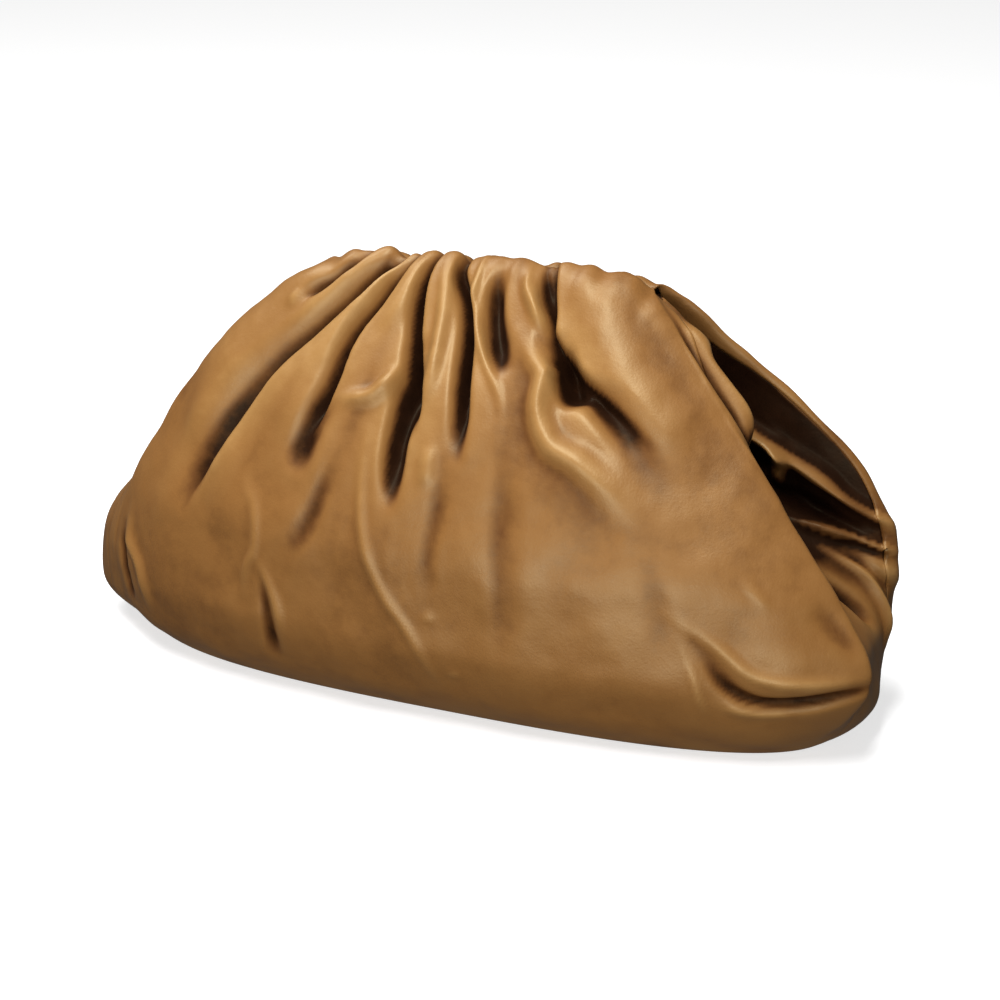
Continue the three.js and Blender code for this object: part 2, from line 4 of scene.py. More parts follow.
import bpy
import numpy as np
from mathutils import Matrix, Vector


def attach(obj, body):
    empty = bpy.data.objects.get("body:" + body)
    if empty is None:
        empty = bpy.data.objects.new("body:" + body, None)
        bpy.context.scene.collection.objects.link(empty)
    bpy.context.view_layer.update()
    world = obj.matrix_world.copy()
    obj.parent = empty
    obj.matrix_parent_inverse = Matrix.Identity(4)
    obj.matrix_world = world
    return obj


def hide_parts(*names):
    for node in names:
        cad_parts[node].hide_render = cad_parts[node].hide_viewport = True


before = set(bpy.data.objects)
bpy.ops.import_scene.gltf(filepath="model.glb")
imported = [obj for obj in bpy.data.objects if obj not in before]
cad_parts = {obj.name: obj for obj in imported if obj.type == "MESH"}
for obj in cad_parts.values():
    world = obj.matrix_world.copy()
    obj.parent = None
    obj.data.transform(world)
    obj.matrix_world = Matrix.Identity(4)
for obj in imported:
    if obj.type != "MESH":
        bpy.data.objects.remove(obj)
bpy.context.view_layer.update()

# Sizes, in millimetres.
BAG_LENGTH = 400
BAG_HEIGHT = 200
BAG_DEPTH = 172
LEATHER = 2.2
SEAM_GAP = 0.1
MOUTH_TILT = 5
MOUTH_ARCH = 3
MOUTH_HALF = 3
HEM_DROP = 20
SEAM_RETURN = 9
LIP_ROLL = 5.2
COLLAR_DEPTH = 20.6
HALF_LENGTH = BAG_LENGTH / 2
HALF_DEPTH = BAG_DEPTH / 2
MM = 0.001  # a millimetre in Blender's metres


def table(columns, rows):
    """Give each row of a table its named columns."""
    names = columns.split()
    return [dict(zip(names, row)) for row in rows]


# Depths and a height of the mouth's sections, as shares of the bag's half depth and height.
COLLAR = COLLAR_DEPTH / HALF_DEPTH
LIP_OUT = (MOUTH_HALF + 2 * LIP_ROLL) / HALF_DEPTH
LIP_MIDDLE = (MOUTH_HALF + LIP_ROLL) / HALF_DEPTH
LIP_IN = (MOUTH_HALF + LIP_ROLL / 6) / HALF_DEPTH
SLIT = MOUTH_HALF / HALF_DEPTH
HEM = 1 - HEM_DROP / BAG_HEIGHT

# Level sections of the leather, from the base seam up and over the lip. height is a share of the
# bag's height, the reaches are shares of half its length, and depth is a share of half its depth.
# A reach is where a ridge or the middle of an end stands. ridge is the ridges' share of the
# section's depth, and square is how boxy the section is.
SECTIONS = table(
    "name height right_front right_back right_end left_front left_back left_end depth ridge square",
    [
        ("seam", 0.0, 0.78, 0.73, 0.79, 0.76, 0.68, 0.86, 0.56, 0.44, 2.8),
        ("sole", 0.0, 0.81, 0.765, 0.83, 0.8, 0.72, 0.91, 0.615, 0.44, 2.8),
        ("heel", 0.035, 0.86, 0.83, 0.91, 0.86, 0.8, 1.02, 0.75, 0.44, 2.7),
        ("low", 0.1, 0.93, 0.88, 0.94, 0.92, 0.9, 1.07, 0.885, 0.44, 2.5),
        ("belly", 0.22, 1.0, 0.91, 0.935, 0.925, 0.93, 1.05, 0.98, 0.44, 2.3),
        ("waist", 0.38, 0.93, 0.925, 0.78, 0.885, 0.92, 0.93, 0.975, 0.44, 2.2),
        ("flank", 0.55, 0.795, 0.855, 0.5, 0.8, 0.8, 0.6, 0.87, 0.45, 2.2),
        ("shoulder", 0.72, 0.642, 0.7, 0.42, 0.69, 0.665, 0.44, 0.68, 0.47, 2.4),
        ("neck", 0.87, 0.51, 0.535, 0.4, 0.56, 0.53, 0.4, 0.42, 0.48, 2.8),
        ("collar", 0.96, 0.435, 0.45, 0.395, 0.465, 0.44, 0.4, COLLAR, 0.5, 3.4),
        ("lip_out", 0.99, 0.41, 0.415, 0.39, 0.42, 0.405, 0.395, LIP_OUT, 0.5, 4.0),
        ("lip_top", 1.0, 0.4, 0.4, 0.39, 0.4, 0.395, 0.39, LIP_MIDDLE, 0.5, 4.0),
        ("lip_in", 0.985, 0.382, 0.382, 0.38, 0.382, 0.38, 0.38, LIP_IN, 0.5, 4.0),
        ("hem", HEM, 0.37, 0.37, 0.366, 0.37, 0.37, 0.366, SLIT, 0.5, 4.0),
    ],
)
LIP_TOP = [row["name"] for row in SECTIONS].index("lip_top")


def curve(xs, ys):
    """Smooth interpolation that never overshoots its points."""
    xs = np.asarray(xs, float)
    ys = np.asarray(ys, float)
    step = np.diff(xs)
    slope = np.diff(ys) / step
    turn = np.zeros(len(xs))
    turn[0] = slope[0]
    turn[-1] = slope[-1]
    for i in range(1, len(xs) - 1):
        if slope[i - 1] * slope[i] > 0:
            before = 2 * step[i] + step[i - 1]
            after = step[i] + 2 * step[i - 1]
            turn[i] = (before + after) / (before / slope[i - 1] + after / slope[i])

    def value(x):
        k = np.clip(np.searchsorted(xs, x, side="right") - 1, 0, len(step) - 1)
        t = (x - xs[k]) / step[k]
        u = 1 - t
        return (
            ys[k] * (1 + 2 * t) * u * u
            + turn[k] * step[k] * t * u * u
            + ys[k + 1] * t * t * (3 - 2 * t)
            - turn[k + 1] * step[k] * t * t * u
        )

    return value


def wall_path():
    """The distance of each section along the wall from the base seam."""
    high = np.array([row["height"] * BAG_HEIGHT for row in SECTIONS])
    deep = np.array([row["depth"] * HALF_DEPTH for row in SECTIONS])
    return np.concatenate([[0], np.cumsum(np.hypot(np.diff(high), np.diff(deep)))])


WALL_LENGTH = wall_path()[LIP_TOP]
SECTION_UP = wall_path() / WALL_LENGTH
HEM_END = SECTION_UP[-1]
# Each column of the sections as a smooth function of the share of the way up the wall.
AT = {
    name: curve(SECTION_UP, [row[name] for row in SECTIONS])
    for name in SECTIONS[0]
    if name != "name"
}


def ease(x):
    """A smooth step from 0 to 1."""
    x = np.clip(x, 0, 1)
    return x * x * (3 - 2 * x)


def between(value, start, end):
    """A smooth step that rises from start to end."""
    return ease((value - start) / (end - start))


TILT_START = 0.55  # the mouth's tilt and arch fade out below this share of the wall
TILT_REACH = 1.3  # and they stop growing past this share of the mouth's half length


def height(x, up):
    """The height of the leather at a share of the way up, with the mouth's tilt and arch."""
    mouth = AT["right_front"](1.0) * HALF_LENGTH
    share = np.clip(x / mouth, -TILT_REACH, TILT_REACH)
    lift = MOUTH_TILT / 2 * share + MOUTH_ARCH * (0.5 - share**2)
    return AT["height"](up) * BAG_HEIGHT + lift * between(up, TILT_START, 1)


def face_reach(side, across, up):
    """Half the length of a face at a height, on the hand that across is on."""
    face = "front" if side < 0 else "back"
    right = AT["right_" + face](up)
    left = AT["left_" + face](up)
    return np.where(across > 0, right, left) * HALF_LENGTH


def face_point(side, across, up):
    """A point of the front (side -1) or back (side 1) before its folds, across from -1 to 1."""
    reach = face_reach(side, across, up)
    power = AT["square"](up)
    whole = reach / (1 - AT["ridge"](up) ** power) ** (1 / power)
    x = reach * across
    y = side * AT["depth"](up) * HALF_DEPTH * (1 - np.abs(x / whole) ** power) ** (1 / power)
    return np.stack([x, y, height(x, up) + lip_lift(side, x, up)], -1)


# The front lip stands a little higher than the back one, and both drop at the mouth's corners.
LIP_LIFT = {-1: 2.0, 1: -3.0}
LIP_WAVES = table("size length phase", [(0.9, 31, 0.4), (0.6, 17, 2.1), (0.4, 11, 4.4)])
LIP_START = 0.88  # the share of the wall at which the lip's lift starts
CORNER = (64, 82)  # how far from the middle the mouth's corners start and are full, in millimetres
CORNER_DROP = 4.0  # how far both lips drop there, in millimetres


def lip_lift(side, x, up):
    """How much the front (side -1) or back (side 1) lip stands above its level section."""
    wave = sum(
        row["size"] * np.sin(math.tau * x / row["length"] + row["phase"] + side)
        for row in LIP_WAVES
    )
    corner = between(np.abs(x), *CORNER)
    return between(up, LIP_START, 1) * (LIP_LIFT[side] * (1 - corner) + wave - CORNER_DROP * corner)


def end_width(up):
    """Half the width of an end, from its middle to a ridge."""
    return AT["ridge"](up) * AT["depth"](up) * HALF_DEPTH


# How far an end is tucked in, as a share of its deepest place, from its front ridge to its back.
TUCK = table(
    "across right_high right_low left",
    [
        (-1, 0, 0, 0),
        (-0.8, -0.04, 0.36, 0.1),
        (-0.55, -0.06, 0.76, 0.42),
        (-0.3, 0.0, 0.95, 0.72),
        (-0.1, 0.2, 1, 0.93),
        (0.1, 0.72, 1, 1),
        (0.35, 1, 0.9, 0.85),
        (0.55, 0.95, 0.72, 0.5),
        (0.72, 0.5, 0.42, 0.2),
        (0.84, 0.06, 0.12, 0.04),
        (0.92, -0.02, 0.0, 0.0),
        (1, 0, 0, 0),
    ],
)
# Each column of the tuck as a smooth function of the place across.
TUCK_CURVES = {
    name: curve([row["across"] for row in TUCK], [row[name] for row in TUCK])
    for name in ("right_high", "right_low", "left")
}
STRIP = (0.46, 0.74)  # the share of the wall over which the strip of the right end runs out


def tuck_share(hand, across, up):
    """How far an end is tucked in at a place, as a share of its deepest place."""
    if hand < 0:
        return TUCK_CURVES["left"](across)
    high = TUCK_CURVES["right_high"](across)
    low = TUCK_CURVES["right_low"](across)
    return low + (high - low) * between(up, *STRIP)


TUCK_BLEND = 12  # millimetres of tuck over which an end turns from round to tucked


def end_point(hand, across, up):
    """A point of the right (hand 1) or left (hand -1) end, across from -1 at the front ridge."""
    name = "right" if hand > 0 else "left"
    front = AT[name + "_front"](up)
    back = AT[name + "_back"](up)
    ridge = (front + (back - front) * (across + 1) / 2) * HALF_LENGTH
    middle = AT[name + "_end"](up) * HALF_LENGTH
    tucked = ease((ridge - middle) / TUCK_BLEND)
    corner = np.where(across < 0, front, back) * HALF_LENGTH
    round_reach = corner + (middle - corner) * (1 - across**2)
    tucked_reach = ridge + (middle - ridge) * tuck_share(hand, across, up)
    x = hand * (round_reach + (tucked_reach - round_reach) * tucked)
    lift = lip_lift(-1, x, up) + (lip_lift(1, x, up) - lip_lift(-1, x, up)) * (across + 1) / 2
    return np.stack([x, across * end_width(up), height(x, up) + lift], -1)


# Folds. Each runs along a path of (across, up) places on its panel: across is a share from the
# middle to a ridge, up is a share of the way from the base seam to the lip. out is how far it
# stands out at its start and end, in millimetres, and less than 0 is a valley. left and right are
# its half widths there on each hand. crisp runs from 0, round, to 1, creased. lap is how far the
# leather on its right hand slides over it.
FOLD_COLUMNS = "path out left right crisp lap"
FRONT_FOLDS = table(
    FOLD_COLUMNS,
    [
        # Pleats at the mouth, from left to right.
        (
            [(-0.68, 1.04), (-0.73, 0.96), (-0.76, 0.925), (-0.81, 0.885), (-0.83, 0.87)],
            (-5, -8), (5, 6), (2.5, 3.5), 0.5, 1,
        ),
        ([(-0.84, 0.9), (-0.85, 0.875), (-0.8, 0.865)], (1.5, 1.5), (4, 4), (4, 4), 0, 0),
        (
            [
                (-0.46, 1.05), (-0.525, 0.925), (-0.59, 0.855), (-0.68, 0.745),
                (-0.715, 0.6), (-0.73, 0.47), (-0.74, 0.38),
            ],
            (-13, -15), (11, 24), (2, 7), 0.7, 3,
        ),
        (
            [
                (-0.37, 1.05), (-0.4, 0.985), (-0.405, 0.9), (-0.435, 0.82),
                (-0.41, 0.71), (-0.42, 0.64), (-0.43, 0.58),
            ],
            (-13, -15), (9, 11), (1.8, 2.6), 0.6, 2.5,
        ),
        ([(-0.4, 0.72), (-0.42, 0.62), (-0.425, 0.52)], (-3, -6), (9, 13), (9, 13), 0, 0),
        ([(-0.38, 0.685), (-0.26, 0.7), (-0.17, 0.775)], (2.5, 6), (7, 8), (5, 6), 0.2, 0),
        (
            [
                (-0.24, 1.05), (-0.27, 0.97), (-0.23, 0.9), (-0.19, 0.847),
                (-0.13, 0.77), (-0.077, 0.7), (-0.06, 0.62),
            ],
            (-12, -19), (5, 11), (1.8, 3), 0.6, 2,
        ),
        (
            [(-0.15, 0.8), (-0.13, 0.72), (-0.12, 0.63), (-0.085, 0.48)],
            (-15, -9), (10, 7), (10, 7), 0.1, 0,
        ),
        (
            [
                (-0.08, 1.05), (-0.1, 0.98), (0.0, 0.9), (0.043, 0.848),
                (0.075, 0.76), (0.1, 0.66), (0.1, 0.58),
            ],
            (-13, -14), (5, 9), (2, 5), 0.5, 2,
        ),
        (
            [(-0.19, 0.985), (-0.09, 0.865), (-0.055, 0.75), (-0.05, 0.68)],
            (3, 4), (5, 6), (5, 6), 0, 0,
        ),
        (
            [
                (0.03, 1.05), (0.01, 1.0), (0.015, 0.91), (0.08, 0.85),
                (0.145, 0.796), (0.23, 0.724), (0.25, 0.68),
            ],
            (2.5, 3.5), (3, 3), (3, 4), 0.3, 0,
        ),
        (
            [(0.14, 0.98), (0.125, 0.93), (0.19, 0.82), (0.24, 0.76)],
            (-9, -8), (6, 9), (6, 9), 0.1, 0,
        ),
        (
            [(0.3, 1.03), (0.3, 0.965), (0.42, 0.865), (0.475, 0.808)],
            (4, 4), (6, 5), (5, 4), 0.1, 0,
        ),
        ([(0.375, 1.05), (0.385, 0.97), (0.43, 0.89)], (-4, -4), (3, 4), (3, 3), 0.4, 0),
        (
            [
                (0.43, 1.05), (0.45, 0.95), (0.46, 0.893), (0.445, 0.868),
                (0.52, 0.81), (0.607, 0.76), (0.715, 0.69), (0.76, 0.64),
            ],
            (-10, -9), (8, 14), (2, 4), 0.6, 3,
        ),
        ([(0.48, 0.84), (0.5, 0.78), (0.53, 0.72)], (-16, -14), (8, 9), (8, 9), 0.1, 0),
        (
            [(0.5, 0.755), (0.6, 0.748), (0.68, 0.69), (0.73, 0.6), (0.76, 0.54)],
            (-7, -1), (9, 15), (10, 17), 0, 0,
        ),
        (
            [
                (0.276, 0.852), (0.34, 0.813), (0.4, 0.775), (0.375, 0.715),
                (0.415, 0.65), (0.49, 0.628), (0.64, 0.512),
            ],
            (5, 6), (5, 12), (6, 12), 0.1, 0,
        ),
        ([(0.4, 0.775), (0.475, 0.805)], (2.5, 2.5), (4, 4), (4, 4), 0.2, 0),
        # Broad rolls of the leather between the pleats.
        ([(0.62, 1.05), (0.68, 0.9), (0.76, 0.76), (0.84, 0.6)], (5, 3), (16, 20), (16, 20), 0, 0),
        ([(-0.92, 1.0), (-0.93, 0.82), (-0.95, 0.6)], (4, 2), (14, 20), (14, 20), 0, 0),
        ([(-0.62, 1.03), (-0.7, 0.9), (-0.78, 0.78)], (3, 1), (7, 10), (7, 10), 0, 0),
        (
            [(-0.42, 1.04), (-0.47, 0.93), (-0.54, 0.8), (-0.56, 0.66)],
            (3, 2), (7, 12), (7, 12), 0, 0,
        ),
        ([(-0.31, 1.04), (-0.32, 0.9), (-0.32, 0.8)], (3, 2), (7, 9), (7, 9), 0, 0),
        # Creases and soft hollows of the belly.
        ([(0.0, 0.63), (0.01, 0.54)], (2.5, 1.5), (6, 7), (6, 7), 0, 0),
        (
            [(0.05, 0.6), (0.055, 0.53), (0.035, 0.425), (0.05, 0.32)],
            (-1.5, -0.8), (8, 7), (8, 7), 0.1, 0,
        ),
        ([(0.04, 0.315), (0.04, 0.3)], (1, 1), (4, 4), (4, 4), 0, 0),
        ([(0.095, 0.205), (0.097, 0.19)], (1, 1), (4, 4), (4, 4), 0, 0),
        (
            [
                (-0.225, 0.64), (-0.19, 0.53), (-0.16, 0.458),
                (-0.1, 0.362), (0.0, 0.263), (0.08, 0.125),
            ],
            (2.2, 1.8), (4, 4), (3.5, 5), 0.45, 0,
        ),
        ([(0.25, 0.64), (0.225, 0.42), (0.22, 0.2)], (-1.6, -0.8), (7, 9), (14, 14), 0.1, 0),
        ([(0.625, 0.5), (0.6, 0.395), (0.575, 0.26)], (-0.8, -0.6), (9, 10), (9, 10), 0, 0),
        (
            [
                (-0.57, 0.52), (-0.56, 0.493), (-0.5, 0.448),
                (-0.47, 0.37), (-0.49, 0.333), (-0.485, 0.25),
            ],
            (1.5, 1.3), (4, 3.5), (5, 4), 0.4, 0,
        ),
        (
            [(-0.465, 0.36), (-0.435, 0.335), (-0.38, 0.26), (-0.37, 0.2)],
            (1.6, 1.4), (3.5, 4), (3.5, 5), 0.3, 0,
        ),
        (
            [(-0.44, 0.33), (-0.43, 0.3), (-0.415, 0.22), (-0.415, 0.14)],
            (-1.5, -4), (3, 7), (3, 8), 0.1, 0,
        ),
        ([(-0.3, 0.578), (-0.325, 0.452), (-0.385, 0.36)], (-2, -1.6), (7, 9), (8, 8), 0, 0),
        ([(-0.68, 0.55), (-0.715, 0.467), (-0.72, 0.4)], (1.2, 1), (5, 6), (5, 6), 0.1, 0),
        # The lower right corner, where the belly folds over the base.
        (
            [
                (0.62, 0.375), (0.657, 0.35), (0.705, 0.321), (0.773, 0.268),
                (0.83, 0.258), (0.92, 0.256), (1.0, 0.262),
            ],
            (1.5, 3), (4, 6), (4, 5), 0.35, 0,
        ),
        (
            [
                (0.66, 0.325), (0.715, 0.242), (0.815, 0.208),
                (0.885, 0.213), (0.98, 0.236), (1.04, 0.25),
            ],
            (-4, -8), (5, 4), (8, 5), 0.5, 0,
        ),
        (
            [(0.7, 0.21), (0.76, 0.198), (0.8, 0.195), (0.89, 0.19)],
            (1.5, 1.5), (4, 4), (4, 4), 0.1, 0,
        ),
        ([(0.63, 0.31), (0.66, 0.228), (0.71, 0.172)], (2, 1.2), (2.6, 3), (2.6, 3), 0.3, 0),
        ([(0.94, 0.4), (0.955, 0.365), (0.985, 0.29)], (-1, -1.2), (6, 6), (5, 5), 0, 0),
        ([(0.82, 0.44), (0.85, 0.385)], (0.9, 0.9), (3, 3), (3, 3), 0.1, 0),
        # The lower left corner.
        ([(-0.965, 0.32), (-0.945, 0.24), (-0.92, 0.15)], (-3, -4), (4, 6), (5, 5), 0.1, 0),
        (
            [(-0.955, 0.36), (-0.93, 0.3), (-0.87, 0.255), (-0.83, 0.15)],
            (2.2, 2), (3, 4), (6, 8), 0.35, 0,
        ),
    ],
)
BACK_FOLDS = table(
    FOLD_COLUMNS,
    [
        ([(-0.78, 1.05), (-0.8, 0.86), (-0.84, 0.66)], (-7, -4), (3, 4), (8, 14), 0.7, 0),
        ([(-0.55, 1.05), (-0.6, 0.82), (-0.69, 0.5)], (-8, -4), (3, 6), (8, 18), 0.7, 0),
        ([(-0.35, 1.05), (-0.4, 0.84), (-0.35, 0.58)], (-8, -4), (2.5, 4), (7, 12), 0.7, 0),
        ([(-0.17, 1.05), (-0.13, 0.82), (-0.21, 0.46)], (-8, -4), (7, 14), (2.5, 6), 0.7, 0),
        ([(0.02, 1.05), (-0.01, 0.86), (0.06, 0.6)], (-8, -4), (2.5, 4), (7, 12), 0.7, 0),
        ([(0.2, 1.05), (0.21, 0.8), (0.31, 0.48)], (-8, -4), (8, 16), (2.5, 6), 0.7, 0),
        ([(0.4, 1.05), (0.42, 0.85), (0.44, 0.62)], (-8, -4), (7, 12), (2.5, 4), 0.7, 0),
        ([(0.6, 1.05), (0.64, 0.84), (0.73, 0.54)], (-7, -4), (8, 15), (2.5, 5), 0.7, 0),
        ([(0.8, 1.05), (0.83, 0.88), (0.86, 0.68)], (-6, -3), (7, 12), (3, 4), 0.6, 0),
        ([(-0.5, 0.48), (-0.44, 0.32), (-0.47, 0.14)], (2.5, 1.5), (5, 6), (6, 8), 0.3, 0),
        ([(-0.22, 0.42), (-0.26, 0.3), (-0.22, 0.18)], (-3, -2), (9, 11), (9, 11), 0, 0),
        ([(0.1, 0.46), (0.04, 0.3), (0.08, 0.14)], (2.5, 1.5), (5, 7), (6, 8), 0.3, 0),
        ([(0.33, 0.4), (0.3, 0.28), (0.34, 0.16)], (-3, -2), (9, 11), (9, 11), 0, 0),
        ([(0.52, 0.46), (0.58, 0.3), (0.52, 0.14)], (2.5, 1.5), (5, 7), (6, 8), 0.3, 0),
        ([(-0.64, 0.3), (-0.8, 0.2), (-1.0, 0.22)], (-4, -6), (6, 5), (6, 5), 0.4, 0),
        ([(0.66, 0.3), (0.8, 0.2), (1.0, 0.22)], (-4, -6), (5, 5), (6, 5), 0.4, 0),
    ],
)
# On an end, across runs from -1 at the front ridge to 1 at the back ridge.
RIGHT_FOLDS = table(
    FOLD_COLUMNS,
    [
        # The strip behind the front ridge, pleated lengthwise, with a knob at its edge.
        (
            [(-0.85, 0.97), (-0.8, 0.85), (-0.74, 0.7), (-0.66, 0.58)],
            (-9, -8), (3, 4), (3, 4), 0.2, 0,
        ),
        ([(-0.6, 0.94), (-0.56, 0.84), (-0.5, 0.72), (-0.4, 0.6)], (7, 2), (3, 4), (4, 5), 0.2, 0),
        ([(-0.45, 0.9), (-0.38, 0.86), (-0.3, 0.81)], (14, 12), (5, 6), (4, 4), 0.1, 0),
        ([(-0.3, 0.8), (-0.24, 0.7), (-0.2, 0.62)], (-3, -3), (3, 3), (3, 3), 0.2, 0),
        # Ridges that cross the cavity, with dark hollows between them.
        (
            [(0.5, 0.7), (0.64, 0.665), (0.7, 0.605), (0.76, 0.55), (0.82, 0.478), (0.95, 0.42)],
            (11, 8), (8, 7), (7, 8), 0.25, 0,
        ),
        ([(0.74, 0.6), (0.69, 0.545), (0.62, 0.5)], (10, 9), (7, 6), (7, 6), 0.1, 0),
        ([(0.6, 0.6), (0.62, 0.56), (0.62, 0.53)], (-8, -8), (8, 8), (8, 8), 0, 0),
        ([(0.68, 0.51), (0.67, 0.47), (0.66, 0.44)], (-10, -10), (9, 9), (9, 9), 0, 0),
        (
            [(0.35, 0.46), (0.58, 0.43), (0.68, 0.425), (0.8, 0.405), (0.96, 0.38)],
            (9, 8), (4.5, 5), (6, 7), 0.35, 0,
        ),
        ([(0.78, 0.39), (0.76, 0.33)], (4, 3), (9, 9), (9, 9), 0, 0),
        ([(0.0, 0.38), (0.15, 0.33), (0.2, 0.27)], (-8, -6), (7, 7), (7, 7), 0.1, 0),
        ([(0.45, 0.4), (0.6, 0.34), (0.56, 0.27), (0.5, 0.2)], (5, 4), (4, 5), (5, 5), 0.25, 0),
        ([(-0.8, 0.4), (-0.72, 0.3), (-0.6, 0.2)], (-7, -5), (5, 6), (6, 6), 0.2, 0),
        # The back panel's rim, drawn in below the mouth.
        ([(0.9, 0.96), (0.93, 0.8), (0.95, 0.6)], (2, 2), (8, 8), (8, 8), 0, 0),
    ],
)
LEFT_FOLDS = table(
    FOLD_COLUMNS,
    [
        ([(0.0, 0.98), (-0.3, 0.82), (-0.2, 0.62)], (3, 4), (5, 6), (5, 6), 0.2, 0),
        ([(0.5, 0.6), (0.1, 0.52), (-0.5, 0.45)], (4, 4), (6, 6), (6, 6), 0.2, 0),
        ([(0.5, 0.46), (0.1, 0.4), (-0.6, 0.36)], (-4, -4), (6, 6), (6, 6), 0.2, 0),
        ([(0.7, 0.34), (0.4, 0.27), (0.5, 0.2)], (3, 3), (5, 5), (5, 5), 0.2, 0),
        ([(0.2, 0.3), (0.1, 0.2), (0.2, 0.1)], (-3, -3), (6, 6), (6, 6), 0.2, 0),
    ],
)

FADE = 0.36  # the share of a fold over which it fades at its lower end
START_LEFT = 0.15  # how much of a fold that starts below the lip is there at its start
LAP_REACH = 4  # a lap's reach as a multiple of its slide
LINE_STEPS = 48  # straight steps along a fold
PATH_SCALE = (1, 1.5)  # how far a share across and a share up count along a fold's path
SOFTEN = np.array([1, 6, 15, 20, 15, 6, 1]) / 64  # the weights that round a path's corners off
TINY = 1e-9  # keeps a division away from zero


def softened(values):
    """Values along a line with their corners rounded off."""
    room = len(SOFTEN) // 2
    return np.convolve(np.pad(values, room, mode="reflect", reflect_type="odd"), SOFTEN, "valid")


def fold_line(fold, place):
    """Points along a fold in flat millimetres, evenly spaced, with their share of its length."""
    corners = np.array(fold["path"], float)
    gaps = np.hypot(*np.diff(corners * PATH_SCALE, axis=0).T)
    knots = np.concatenate([[0], np.cumsum(gaps)]) / gaps.sum()
    shares = np.linspace(0, 1, LINE_STEPS + 1)
    across, up = (curve(knots, corners[:, k])(shares) for k in (0, 1))
    if len(corners) > 2:
        across, up = softened(across), softened(up)
    return np.stack(place(across, up), -1), shares


def nearest_on(line, shares, x, u):
    """How far each place is from a line, on which side (1 is right), and the share along it."""
    best = np.full(x.shape, np.inf)
    side = np.zeros(x.shape)
    along = np.zeros(x.shape)
    for (ax, au), (bx, bu), share, step in zip(line, line[1:], shares, np.diff(shares)):
        span = (bx - ax) ** 2 + (bu - au) ** 2 + TINY
        t = np.clip(((x - ax) * (bx - ax) + (u - au) * (bu - au)) / span, 0, 1)
        gap = np.hypot(x - ax - t * (bx - ax), u - au - t * (bu - au))
        closer = gap < best
        cross = (bx - ax) * (u - au) - (bu - au) * (x - ax)
        best = np.where(closer, gap, best)
        side = np.where(closer, np.sign(cross), side)
        along = np.where(closer, share + t * step, along)
    return best, side, along


def relief(folds, place, x, u):
    """The folds' height over a panel, and how far they slide its leather to the left."""
    out = np.zeros(x.shape)
    slide = np.zeros(x.shape)
    for fold in folds:
        line, shares = fold_line(fold, place)
        reach = max(*fold["left"], *fold["right"], fold["lap"] * LAP_REACH)
        low, high = line.min(0) - reach, line.max(0) + reach
        near = (x > low[0]) & (x < high[0]) & (u > low[1]) & (u < high[1])
        if not near.any():
            continue
        gap, side, along = nearest_on(line, shares, x[near], u[near])

        def there(name):
            return fold[name][0] + (fold[name][1] - fold[name][0]) * along

        wide = np.where(side > 0, there("right"), there("left"))
        share = np.clip(gap / wide, 0, 1)
        rounded = (1 + np.cos(np.pi * share)) / 2
        creased = (1 - share) ** 2
        ends = ease((1 - along) / FADE)
        if fold["path"][0][1] < 1:
            ends = ends * (START_LEFT + (1 - START_LEFT) * ease(along / FADE))
        crisp = fold["crisp"]
        out[near] += there("out") * ends * ((1 - crisp) * rounded + crisp * creased)
        if fold["lap"]:
            over = np.clip(1 - gap / (fold["lap"] * LAP_REACH), 0, 1) ** 2
            slide[near] += fold["lap"] * ends * over * (side > 0)
    return out, slide


# Small uneven waves of the leather: the height, the wave length across and up, and how many.
WAVES = table(
    "height across up count",
    [(0.4, 50, 70, 10), (0.12, 18, 34, 14), (0.04, 8, 13, 18)],
)
WAVE_STRETCH = (0.7, 1.5)  # how much a wave's length may differ from its row's


def waves(x, u, seed):
    """Seeded small waves over a panel."""
    chance = np.random.default_rng(seed)
    total = np.zeros(x.shape)
    for row in WAVES:
        for _ in range(row["count"]):
            turn = chance.uniform(0, math.tau)
            stretch = chance.uniform(*WAVE_STRETCH)
            phase = chance.uniform(0, math.tau)
            along = math.cos(turn) * x / row["across"] + math.sin(turn) * u / row["up"]
            size = row["height"] * math.sqrt(2 / row["count"])
            total += size * np.sin(math.tau * along * stretch + phase)
    return total


LIP_FOLD = 0.25  # the folds' share that is left at the lip
# The shares of the wall over which the folds rise above the base, sink at the lip and end inside.
CALM_BASE = (0.04, 0.12)
CALM_LIP = (0.92, 1.0)
CALM_HEM = (1.0, 1.06)


def strength(up):
    """Folds are full on the walls, lower over the lip and gone at the hem and on the base."""
    lip = 1 - (1 - LIP_FOLD) * between(up, *CALM_LIP)
    return between(up, *CALM_BASE) * lip * (1 - between(up, *CALM_HEM))


def end_span(hand, across, up):
    """The length of an end's leather from a ridge to its middle."""
    name = "right" if hand > 0 else "left"
    ridge = np.where(across < 0, AT[name + "_front"](up), AT[name + "_back"](up))
    return np.hypot(end_width(up), (ridge - AT[name + "_end"](up)) * HALF_LENGTH)


END_ROOM = 30  # an end narrower than this to a side has lower folds
END_CALM = 0.1  # folds of an end fade out in this share of its width beside a ridge
WAVE_SEEDS = {"face": 11, "end": 31}
END_FOLDS = {1: RIGHT_FOLDS, -1: LEFT_FOLDS}
FACE_FOLDS = {-1: FRONT_FOLDS, 1: BACK_FOLDS}
# The places at which the lengths of an end's leather are worked out.
ARC_ACROSS = np.linspace(-1, 1, 161)
ARC_UP = np.linspace(0, HEM_END, 90)


def arc_table(hand):
    """The length of an end's leather from its front ridge, at places across and up."""
    across, up = np.broadcast_arrays(ARC_ACROSS[None, :], ARC_UP[:, None])
    points = end_point(hand, across, up)
    steps = np.linalg.norm(np.diff(points, axis=1), axis=-1)
    return np.concatenate([np.zeros((len(ARC_UP), 1)), np.cumsum(steps, 1)], 1)


ARCS = {hand: arc_table(hand) for hand in (-1, 1)}


